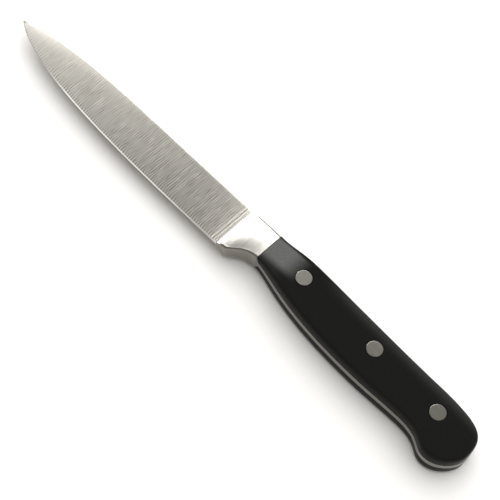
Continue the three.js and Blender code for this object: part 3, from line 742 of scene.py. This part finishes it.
tip_to_heel = slice(-2, None, -1)
spine, belly = blade_spine[tip_to_heel], blade_edge[tip_to_heel]
gone = (HEEL_X - spine[:, 0]) / (HEEL_X - TIP_X)
bent = np.minimum(gone, TAPER_STRAIGHT)
thinned = bent ** TAPER_POWER + TAPER_POWER * bent ** (TAPER_POWER - 1) * (gone - bent)
spine_half = mix(HEEL_SPINE_HALF, TIP_SPINE_HALF, thinned)
eased = np.minimum(
    mix(HEEL_EASED, TIP_EASED, ease((gone - EASED_FROM) / EASED_RUN)),
    0.5 * np.linalg.norm(spine - belly, axis=1))
distance, height = wedge_sections(spine, belly, spine_half, eased)
blade_rows = rings(spine, belly, distance, height + raised(spine, belly, distance))
spine_distance, edge_distance = distance, distance[:, -1:] - distance
print("blade width at the heel:", distance[-1, -1].round(2), "mm")

# %% [markdown]
# The bolster's sides lean outwards towards the shoulder at the same slope as the front of the
# scales. Below the middle they roll over towards the belly in a wide arc, which runs on into the
# front of the scales, because both are ground and polished in one go.

# %% Thickness and roll of the bolster
SHOULDER_HALF, BOLSTER_FRONT_HALF = 4.82, 3.35  # half the thickness behind and in front
BOLSTER_RAMP = -HEEL_X - 3.6  # length of the bolster's slope
RAMP, RAMP_BEND = 15.0, 7.0  # length of the scales' slope, with the bend into the flat
ROLL_WIDTH, ROLL_RADIUS, ROLL_FADE = 10.5, 87.0, 14.0  # it fades out over the scales' front


def half_thickness(x):
    """A straight ramp on the bolster, and one on the scales that bends into the flat.

    In the bend the height is the slope times the way gone, less its square over twice the bend.
    """
    bolster = mix(SHOULDER_HALF, BOLSTER_FRONT_HALF, -x / BOLSTER_RAMP)
    slope = (HANDLE_HALF - SHOULDER_HALF) / (RAMP - RAMP_BEND / 2)
    run = np.minimum(x, RAMP - RAMP_BEND)
    bend = np.clip(x - run, 0, RAMP_BEND)
    scale = SHOULDER_HALF + slope * (run + bend - bend ** 2 / (2 * RAMP_BEND))
    return np.where(x < 0, bolster, scale)


def roll(x, from_belly):
    """Drop of a wide arc towards the belly: the square of the way into it over twice its radius."""
    into = np.maximum(0, ROLL_WIDTH - from_belly)
    return into ** 2 / (2 * ROLL_RADIUS) * (1 - ease(x / ROLL_FADE))


print("half thickness at the shoulder and behind the ramp:", half_thickness(np.array([0, RAMP])))

# %% [markdown]
# A hollow climbs from the blade to the bolster: there each row passes from the wedge to the
# bolster's own section, slowly at first and at the end, so that no edge is left. The belly's edge
# is crisp, and the back is chamfered.

# %% Bolster rows
BACK_CHAMFER, BELLY_ROUND, BELLY_FLATNESS = 1.3, 1.0, 0.33  # the belly's corner is a third as high
SPINE_CLIMB, SPINE_CLIMB_RUN = -14.2, 2.6  # where the hollow starts to climb, and how far
BELLY_CLIMB, BELLY_CLIMB_RUN = -14.8, 2.0

spine, belly = bolster_spine[1:], bolster_belly[1:]
width = spine[:, 1] - belly[:, 1]
chamfer = BACK_CHAMFER * half_thickness(spine[:, :1]) / SHOULDER_HALF


def bolster_side(d):
    """Height of the side at distances from the spine: the half thickness less the roll."""
    at_x = mix(spine[:, :1], belly[:, :1], d / width[:, None])
    return half_thickness(at_x) - roll(at_x, width[:, None] - d)


thick_d, thick_h = half_sections(
    width, bolster_side, chamfer[:, 0], BELLY_ROUND, BELLY_FLATNESS)
on_chamfer = slice(1, CORNER_STEPS + 2)
thick_d[:, on_chamfer] = chamfer * steps(CORNER_STEPS)
thick_h[:, on_chamfer] = bolster_side(chamfer) - chamfer * (1 - steps(CORNER_STEPS))
level_row = np.ones(len(spine))
thin_d, thin_h = wedge_sections(
    spine, belly, HEEL_SPINE_HALF * level_row, HEEL_EASED * level_row)
thin_h += raised(spine, belly, thin_d)
down = thin_d / width[:, None]
climb_from = mix(SPINE_CLIMB, BELLY_CLIMB, down)
climb_run = mix(SPINE_CLIMB_RUN, BELLY_CLIMB_RUN, down)
climb = ease((mix(spine[:, :1], belly[:, :1], down) - climb_from) / climb_run)
bolster_rows = rings(spine, belly, mix(thin_d, thick_d, climb), mix(thin_h, thick_h, climb))
print("bolster thickness at the shoulder:", (2 * bolster_rows[-1, :, 2].max()).round(2), "mm")

# %% [markdown]
# Behind the shoulder a short slope carries the steel down to the tang, which fills the whole
# outline of the handle between the scales and is drilled for the rivets. Its edges stay a hair
# inside the scales.

# %% Tang rows
TANG_HALF, TANG_INSET, TANG_BREAK = 1.3, 0.06, 0.15  # half thickness, inset and edges
SLOPE_RUN, SLOPE_RISE, SLOPE_ROUND = 1.3, 2.9, 1.2  # the slope behind the shoulder
SLOPE_CLEAR = 0.5  # no row of the handle lies closer behind the slope


def tang_rows(spine, belly, half, spine_break):
    """Flat bar of the given half thickness with lightly broken edges, just inside the outline."""
    across = belly - spine
    across = across / np.linalg.norm(across, axis=1, keepdims=True) * TANG_INSET
    spine, belly = spine + across, belly - across
    width = np.linalg.norm(belly - spine, axis=1)
    distance, height = half_sections(
        width, lambda d: half[:, None] + 0 * d, spine_break, TANG_BREAK)
    return rings(spine, belly, distance, height)


clear = np.minimum(handle_spine[:, 0], handle_belly[:, 0]) > SLOPE_RUN + SLOPE_CLEAR
handle_pairs = np.stack([handle_spine, handle_belly], 1)[clear]
first = np.array([SHOULDER_SPINE, NOTCH])
slope_end = mix(first, handle_pairs[0], SLOPE_RUN / handle_pairs[0][:, :1])
bar = np.concatenate([first[None], slope_end[None], handle_pairs[:-1]])
bar_half = np.full(len(bar), TANG_HALF)
bar_half[0] += SLOPE_RISE
bar_break = np.full(len(bar), TANG_BREAK)
bar_break[0] = SLOPE_ROUND
tang = tang_rows(bar[:, 0], bar[:, 1], bar_half, bar_break)
print("rows of the tang:", len(tang))

# %% [markdown]
# All rows together are one closed skin: a point at the tip, a small flat at the butt. Each stretch
# gets its own finish, and every point remembers how far it is from the edge and the spine, for the
# grinding marks.

# %% One forging
GROUND, HONED, POLISHED, BRUSHED_SHADED, SATIN = range(5)  # order of the finishes
BACK_FROM = -12.0  # the brushed back starts here
FAR = 20.0  # distance from edge and spine on rows without grinding marks

tip_row = np.broadcast_to((TIP_X, TIP_Y, 0.0), (1, 2 * HALF - 2, 3))
rows = np.concatenate([tip_row, blade_rows, bolster_rows, tang])
count = rows.shape[1]
skin = quads(len(rows), count, wrap=True)
row_of, column_of = np.divmod(np.arange(len(skin)), count)
heel_row, shoulder_row = len(blade_rows), len(blade_rows) + len(bolster_rows)
on_bevel = (column_of >= BEVEL_FROM) & (column_of < count - BEVEL_FROM)
back = (column_of <= CORNER_STEPS) | (column_of >= count - CORNER_STEPS - 1)
back &= rows[row_of, 0, 0] > BACK_FROM
on_bolster = row_of >= heel_row
finish = np.select(
    [row_of >= shoulder_row, on_bolster & (on_bevel | back), on_bolster, on_bevel],
    [SATIN, BRUSHED_SHADED, POLISHED, HONED], default=GROUND)


def over_rows(values):
    """One number per point: the blade's half sections mirrored, and far away on all other rows."""
    full = np.full(rows.shape[:2], FAR)
    full[1:1 + len(blade_rows)] = np.hstack([values, values[:, -2:0:-1]])
    return full.ravel()


butt_cap = (len(rows) - 1) * count + np.arange(count)
forging = closed_piece(
    "blade_bolster_and_tang", rows.reshape(-1, 3), skin.tolist() + [butt_cap.tolist()],
    [ground_steel, honed_steel, polished_steel, brushed_shaded_steel, satin_steel],
    np.append(finish, SATIN),
    {"from_edge": over_rows(edge_distance), "from_spine": over_rows(spine_distance)})

# %% [markdown]
# ## Turned pieces
# Rivets and drill holes are round, so they are a profile of radius and height carried once round an
# axis. A cylinder primitive would need its ends and steps added by hand. The three rivets stand in
# a line that slopes a little with the handle.

# %% Lathe
RIVET_X = {"front": 18.0, "middle": 54.6, "rear": HANDLE_LENGTH - 18.0}
RIVET_TILT = math.tan(math.radians(2.12))
rivet_places = {which: np.array([at, -at * RIVET_TILT, 0.0]) for which, at in RIVET_X.items()}


def turned(profile, centres, turns=96):
    """Points of each profile step at radius times cosine and sine of the turn, plus the centre."""
    profile = np.array(profile, float)
    angle = np.linspace(0, 2 * np.pi, turns, endpoint=False)
    around = np.stack([np.cos(angle), np.sin(angle), 0 * angle], -1)
    body = profile[:, :1, None] * around[None] + profile[:, 1:, None] * (0, 0, 1)
    faces = quads(len(profile), turns, wrap=True)
    points = np.concatenate([body.reshape(-1, 3) + centre for centre in centres])
    offsets = np.arange(len(centres))[:, None, None] * len(profile) * turns
    return points, (faces[None] + offsets).reshape(-1, 4).tolist()


def drill(name, profile):
    """The same turned profile at all three rivets, as one cutter."""
    return closed_piece(name, *turned(profile, list(rivet_places.values())), [])


print("rivets at x:", list(RIVET_X.values()))

# %% [markdown]
# The tang is drilled a hair wider than the rivets, so that they go in by hand before they are
# pressed. Then the forging is finished: smooth all over, with only its real edges sharp.

# %% Drill the tang
SHANK, SEAT_GAP = 2.0, 0.05  # radius of the rivets' shanks, and the play between two pieces
TANG_DRILL = 3.0  # the drill reaches this far on both sides of the mid-plane
SHARP_STEEL = 9  # degrees

hole = SHANK + SEAT_GAP
drilled(forging, drill("tang_drill", [
    (0, -TANG_DRILL), (hole, -TANG_DRILL), (hole, TANG_DRILL), (0, TANG_DRILL)]))
pieces = [forging]
smooth_below(forging, SHARP_STEEL)
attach(forging, "root")
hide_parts("forged_blade")
print(forging.name, "faces after drilling:", len(forging.data.polygons))

# %% [markdown]
# ## Scales
# Each scale is cut from a slab in the outline of the handle. Its side stands upright on the tang
# and then rounds over to the face, tighter along the spine and at the front than along the belly,
# where the fingers close round it. So rings follow the outline, each a little further in and a
# little higher, along one cubic curve.

# %% Outline of the scales and their rounding
SCALE_ROUND, BACK_ROUND, FRONT_ROUND = 2.5, 0.95, 0.8  # width of the rounded edge
FRONT_RUN = 14.0  # it opens from the front's to the full width over this run

pairs = np.concatenate([first[None], handle_pairs])
outline = np.concatenate([pairs[:, 0], pairs[-2::-1, 1]])
along = np.roll(outline, -1, 0) - np.roll(outline, 1, 0)
along /= np.linalg.norm(along, axis=1, keepdims=True)
inward = np.stack([along[:, 1], -along[:, 0]], -1)
inward[0], inward[-1] = (0, -1), (0, 1)
on_belly = np.arange(len(outline)) >= len(pairs)
opened = ease(outline[:, 0] / FRONT_RUN)
to_butt = ease((outline[:, 0] - REAR[0]) / (BUTT[0] - REAR[0]))
rounding = np.where(
    on_belly, mix(FRONT_ROUND, SCALE_ROUND, opened), mix(BACK_ROUND, SCALE_ROUND, to_butt))
print("points round a scale:", len(outline))

# %% [markdown]
# Inside the last ring lies the face, which ramps down towards the bolster and falls off softly
# towards the spine. The front end fits over the shoulder's slope. A bevel modifier would round the
# edge too, but not keep the ramp and the line along the bolster.

# %% Wall and face of a scale
CROWN_WIDTH, CROWN_RADIUS = 6.0, 55.0  # the soft fall of the face towards the spine
CROWN_FROM, CROWN_RUN = 12.0, 28.0  # it grows over this run behind the shoulder
SEAT = TANG_HALF + SEAT_GAP
FACE_COLUMNS, FLANK_STEPS = 24, 24
FLAT_RING = (1.05, 1)  # one more ring just inside the rounding keeps the face flat


def face_height(x, y):
    """Height of the face: the ramp, less the roll at its front and a wide arc along the spine."""
    belly_y = np.interp(x, *front_belly.T)
    into = np.maximum(0, y + CROWN_WIDTH - np.interp(x, *handle_spine.T))
    crown = into ** 2 / (2 * CROWN_RADIUS) * ease((x - CROWN_FROM) / CROWN_RUN)
    return half_thickness(x) - roll(x, y - belly_y) - crown


def front_x(height):
    """Where the front end lies at a height: on the shoulder's slope, or on its face above."""
    share = 1 - (height - TANG_HALF) / SLOPE_RISE
    return np.where(share > 0, 2 * SEAT_GAP + SLOPE_RUN * share, SEAT_GAP)


def scale_rings(over, up):
    """Outline moved in by a share of the rounding, at a share of the way up from seat to face."""
    ring = outline + over[:, None, None] * rounding[:, None] * inward
    start_x = front_x(mix(SEAT, SHOULDER_HALF, up))[:, None]
    for end, nearest in ((0, 1), (-1, -2)):
        share = (start_x - outline[end, 0]) / (outline[nearest, 0] - outline[end, 0])
        moved = over[:, None] * rounding[end] * inward[end]
        ring[:, end] = mix(outline[end], outline[nearest], share) + moved
    top = face_height(ring[..., 0], ring[..., 1])
    return np.concatenate([ring, mix(SEAT, top, up[:, None])[..., None]], -1)


flank = cubic((0, 0), (0, 0.85), (0.05, 1), (1, 1), steps(FLANK_STEPS))
wall = scale_rings(*np.vstack([flank, FLAT_RING]).T)
middle = len(pairs)
face_a, face_b = wall[-1, :middle], wall[-1, ::-1][:middle]
face = mix(face_a[:, None], face_b[:, None], steps(FACE_COLUMNS)[None, :, None])
face[..., 2] = face_height(face[..., 0], face[..., 1])
seat = np.stack([wall[0, :middle], wall[0, ::-1][:middle]], 1)
ends = np.stack([wall[:, 0], wall[:, -1]], 1)
print("rings of the wall:", len(wall), "rows of the face:", len(face))

# %% [markdown]
# The four grids of a scale are its wall, its face, its seat on the tang and its front end. They
# share their borders, so merging makes one closed skin of them, and one more face closes the gap
# between the top of the front end and the first row of the face.

# %% Skin of a scale
ring_count, ring_size = wall.shape[:2]
start = np.cumsum([0, wall[..., 0].size, face[..., 0].size, seat[..., 0].size])
scale_points = np.concatenate([part.reshape(-1, 3) for part in (wall, face, seat, ends)])
last_end = int(start[3]) + 2 * (ring_count - 2)
front_row = (start[1] + np.arange(FACE_COLUMNS + 1)).tolist()
scale_faces = (
    quads(ring_count, ring_size, wrap=False).tolist()
    + (start[1] + quads(middle, FACE_COLUMNS + 1, wrap=False)).tolist()
    + (start[2] + quads(middle, 2, wrap=False)).tolist()
    + (start[3] + quads(ring_count - 1, 2, wrap=False)).tolist()
    + [[last_end, *front_row, last_end + 1]]
)
print("points and faces of a scale:", len(scale_points), len(scale_faces))

# %% [markdown]
# Each bore has two steps, a narrow one for the shank and a wide one for the head, and its mouth is
# lightly countersunk, which shows as a dark ring round the head. The right scale is the left one
# mirrored.

# %% Two scales
HEAD, HEAD_THICKNESS = 3.1, 1.8  # radius and thickness of a rivet's head
HEAD_TOP = HANDLE_HALF - 0.03  # just below the face
HEAD_SEAT = HEAD_TOP - HEAD_THICKNESS
MOUTH_WIDTH, MOUTH_BELOW, MOUTH_ABOVE = 0.3, 0.25, 0.05  # countersink, from the head's top
DRILL_TOP = 8.0  # well above the face
SHARP_PLASTIC = 12  # degrees

pocket = HEAD + SEAT_GAP
pocket_floor = HEAD_SEAT - SEAT_GAP
mouth = pocket + MOUTH_WIDTH
bore = [(0, 0), (hole, 0), (hole, pocket_floor), (pocket, pocket_floor),
        (pocket, HEAD_TOP - MOUTH_BELOW), (mouth, HEAD_TOP + MOUTH_ABOVE),
        (mouth, DRILL_TOP), (0, DRILL_TOP)]
for side, name in ((1, "left"), (-1, "right")):
    scale = closed_piece(
        f"{name}_handle_scale", scale_points * (1, 1, side), scale_faces, [black_pom])
    drilled(scale, drill(f"{name}_drill", [(r, side * h) for r, h in bore]))
    smooth_below(scale, SHARP_PLASTIC)
    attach(scale, "root")
    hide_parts(f"{name}_scale")
    pieces.append(scale)
    print(scale.name, "top at", round(MM * max(abs(c[2]) for c in scale.bound_box), 2), "mm")

# %% [markdown]
# ## Rivets
# Each rivet is a tube with a head, pressed from the left, and a solid pin with a head, pressed into
# it from the right. The heads are sanded level with the scales and their rims are lightly broken.
# Both are one profile each, turned at three places.

# %% Rivet halves
BORE, HEAD_EDGE, END_GAP = 1.45, 0.07, 0.6  # the tube's bore, the rim, the gap at both ends
FLAT_HEAD = HEAD - 0.3  # a ring just inside the rim keeps the head flat
SHARP_RIVET = 30  # degrees

turn = np.linspace(0, np.pi / 2, 7)
rim = (HEAD, HEAD_TOP) - HEAD_EDGE * (1 - np.stack([np.cos(turn), np.sin(turn)], -1))
tube_end, pin_end = END_GAP - HEAD_SEAT, HEAD_SEAT - END_GAP
pin_radius = BORE - SEAT_GAP
sleeve = [(0, HEAD_SEAT), (BORE, HEAD_SEAT), (BORE, tube_end), (SHANK, tube_end),
          (SHANK, HEAD_SEAT), (HEAD, HEAD_SEAT), *rim, (FLAT_HEAD, HEAD_TOP), (0, HEAD_TOP)]
pin = [(0, pin_end), (pin_radius, pin_end), (pin_radius, -HEAD_SEAT), (HEAD, -HEAD_SEAT),
       *(rim * (1, -1)), (FLAT_HEAD, -HEAD_TOP), (0, -HEAD_TOP)]
for which, centre in rivet_places.items():
    for half, profile in (("sleeve", sleeve), ("pin", pin)):
        rivet = closed_piece(
            f"{which}_{half}_turned", *turned(profile, [centre]), [rivet_metal])
        smooth_below(rivet, SHARP_RIVET)
        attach(rivet, "root")
        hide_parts(f"{which}_rivet_{half}")
        pieces.append(rivet)

# %% [markdown]
# ## Studio
# The knife lies on a white paper sweep. A plane of a few metres would show its edge from low
# views, so this one is far larger, and it lies a hair below the knife so that no two faces are in
# the same place.

# %% Floor
SWEEP, FLOOR_Z = 20.0, -2e-5  # metres

floor_mesh = bpy.data.meshes.new("floor")
corners = [(-SWEEP, -SWEEP), (SWEEP, -SWEEP), (SWEEP, SWEEP), (-SWEEP, SWEEP)]
floor_mesh.from_pydata([(*corner, FLOOR_Z) for corner in corners], [], [(0, 1, 2, 3)])
floor = bpy.data.objects.new("floor", floor_mesh)
bpy.context.collection.objects.link(floor)
paper = bpy.data.materials.new("white_paper_sweep")
paper.use_nodes = True
tree = paper.node_tree
tree.nodes.clear()
matt = add(tree, "ShaderNodeBsdfDiffuse", {"Color": colour("#fcfaf7")})
add(tree, "ShaderNodeOutputMaterial", {"Surface": matt.outputs["BSDF"]})
floor_mesh.materials.append(paper)
print("paper sweep of", 2 * SWEEP, "m")

# %% [markdown]
# The room is what the flat faces mirror: light at the horizon, most of all behind the spine, and
# grey above. A soft round glow stands behind the spine too, for the sheen on the handle. All of it
# is worked out from the direction alone, so it needs no picture of a studio.

# %% Room
GLOW_AZIMUTH, GLOW_ELEVATION = 130, 36  # degrees
GLOW_CORE, GLOW_END = 9, 25  # degrees from its middle
CEILING_FROM = 0.38  # sine of the elevation at which the grey is full


def towards(azimuth, elevation):
    """Unit vector at these degrees round from +x and up from the floor."""
    a, e = math.radians(azimuth), math.radians(elevation)
    return Vector((math.cos(e) * math.cos(a), math.cos(e) * math.sin(a), math.sin(e)))


world = bpy.data.worlds.new("studio")
bpy.context.scene.world = world
world.use_nodes = True
tree = world.node_tree
tree.nodes.clear()
direction = add(tree, "ShaderNodeTexCoord").outputs["Generated"]
split = add(tree, "ShaderNodeSeparateXYZ", {"Vector": direction})
ceiling = add(tree, "ShaderNodeMapRange", {
    "Value": split.outputs["Y"], "From Min": -0.45, "From Max": 0.15,
    "To Min": 0.32, "To Max": 0.26})
horizon = add(tree, "ShaderNodeMapRange", {
    "Value": split.outputs["Y"], "From Min": -0.5, "From Max": 0.2,
    "To Min": 0.4, "To Max": 0.85})
height = add(tree, "ShaderNodeMapRange", {
    "Value": split.outputs["Z"], "From Min": 0.0, "From Max": CEILING_FROM},
    interpolation_type="SMOOTHSTEP")
room = add(tree, "ShaderNodeMix", {
    0: height.outputs["Result"], 2: horizon.outputs["Result"], 3: ceiling.outputs["Result"]},
    data_type="FLOAT")
nearness = add(tree, "ShaderNodeVectorMath", {
    0: direction, 1: towards(GLOW_AZIMUTH, GLOW_ELEVATION)}, operation="DOT_PRODUCT")
glow = add(tree, "ShaderNodeMapRange", {
    "Value": nearness.outputs["Value"], "From Min": math.cos(math.radians(GLOW_END)),
    "From Max": math.cos(math.radians(GLOW_CORE))}, interpolation_type="SMOOTHSTEP")
strength = add(tree, "ShaderNodeMath", {
    0: room.outputs[0], 1: glow.outputs["Result"]}, operation="ADD")
light = add(tree, "ShaderNodeBackground", {
    "Color": colour("#fffefc"), "Strength": strength.outputs[0]})
add(tree, "ShaderNodeOutputWorld", {"Surface": light.outputs["Background"]})
print("room nodes:", len(tree.nodes))

# %% [markdown]
# A wide soft lamp stands low behind the spine and lights the steel, so that the bolster, which
# leans that way, mirrors it. The paper and the black scales have a wide lamp of their own, high up,
# as in a studio: the paper is white with a soft short shadow, and the black faces don't mirror the
# low lamp. Sun lamps with a wide angle do this: each is a disc of even light, and light linking
# says what it lights.

# %% Two wide soft lamps
def soft_lamp(name, width, energy, azimuth, elevation, lit):
    """Sun lamp of this angular width, from this direction, that lights only the given objects."""
    data = bpy.data.lights.new(name, "SUN")
    data.angle, data.energy = math.radians(width), energy
    lamp = bpy.data.objects.new(name, data)
    lamp.rotation_euler = (-towards(azimuth, elevation)).to_track_quat("-Z", "Y").to_euler()
    bpy.context.collection.objects.link(lamp)
    group = bpy.data.collections.new(f"lit_by_{name}")
    for thing in lit:
        group.objects.link(thing)
    lamp.light_linking.receiver_collection = group
    print(name, "lights", len(lit), "objects")


scales = [piece for piece in pieces if piece.name.endswith("handle_scale")]
steel = [piece for piece in pieces if piece not in scales]
soft_lamp("steel_lamp", width=47.2, energy=5.9, azimuth=139.6, elevation=23.6, lit=steel)
soft_lamp(
    "high_lamp", width=100.0, energy=3.05, azimuth=110.0, elevation=62.0, lit=[floor, *scales])

# %% [markdown]
# ## Camera
# The camera stands where the photographer stood: above the belly side of the handle, with a long
# lens, so that the knife runs from corner to corner of the square frame. Its place and its three
# directions come from fitting a pinhole camera to the knife's outline.

# %% Camera
CAMERA_PLACE = (0.153454, -0.221641, 0.4924)  # metres
RIGHT, DOWN = (0.70327, 0.70156, 0.115), (0.66279, -0.58851, -0.463)
AHEAD = (-0.25714, 0.40183, -0.87887)

camera_data = bpy.data.cameras.new("camera")
camera_data.lens, camera_data.sensor_width = 108.0, 36.0
camera_data.clip_start, camera_data.clip_end = 0.01, 50.0
camera = bpy.data.objects.new("camera", camera_data)
turn_to = Matrix((RIGHT, [-c for c in DOWN], [-c for c in AHEAD])).transposed()
camera.matrix_world = Matrix.Translation(CAMERA_PLACE) @ turn_to.to_4x4()
bpy.context.collection.objects.link(camera)
bpy.context.scene.camera = camera
bpy.context.scene.view_settings.view_transform = "Standard"
print("camera with a lens of", camera_data.lens, "mm")
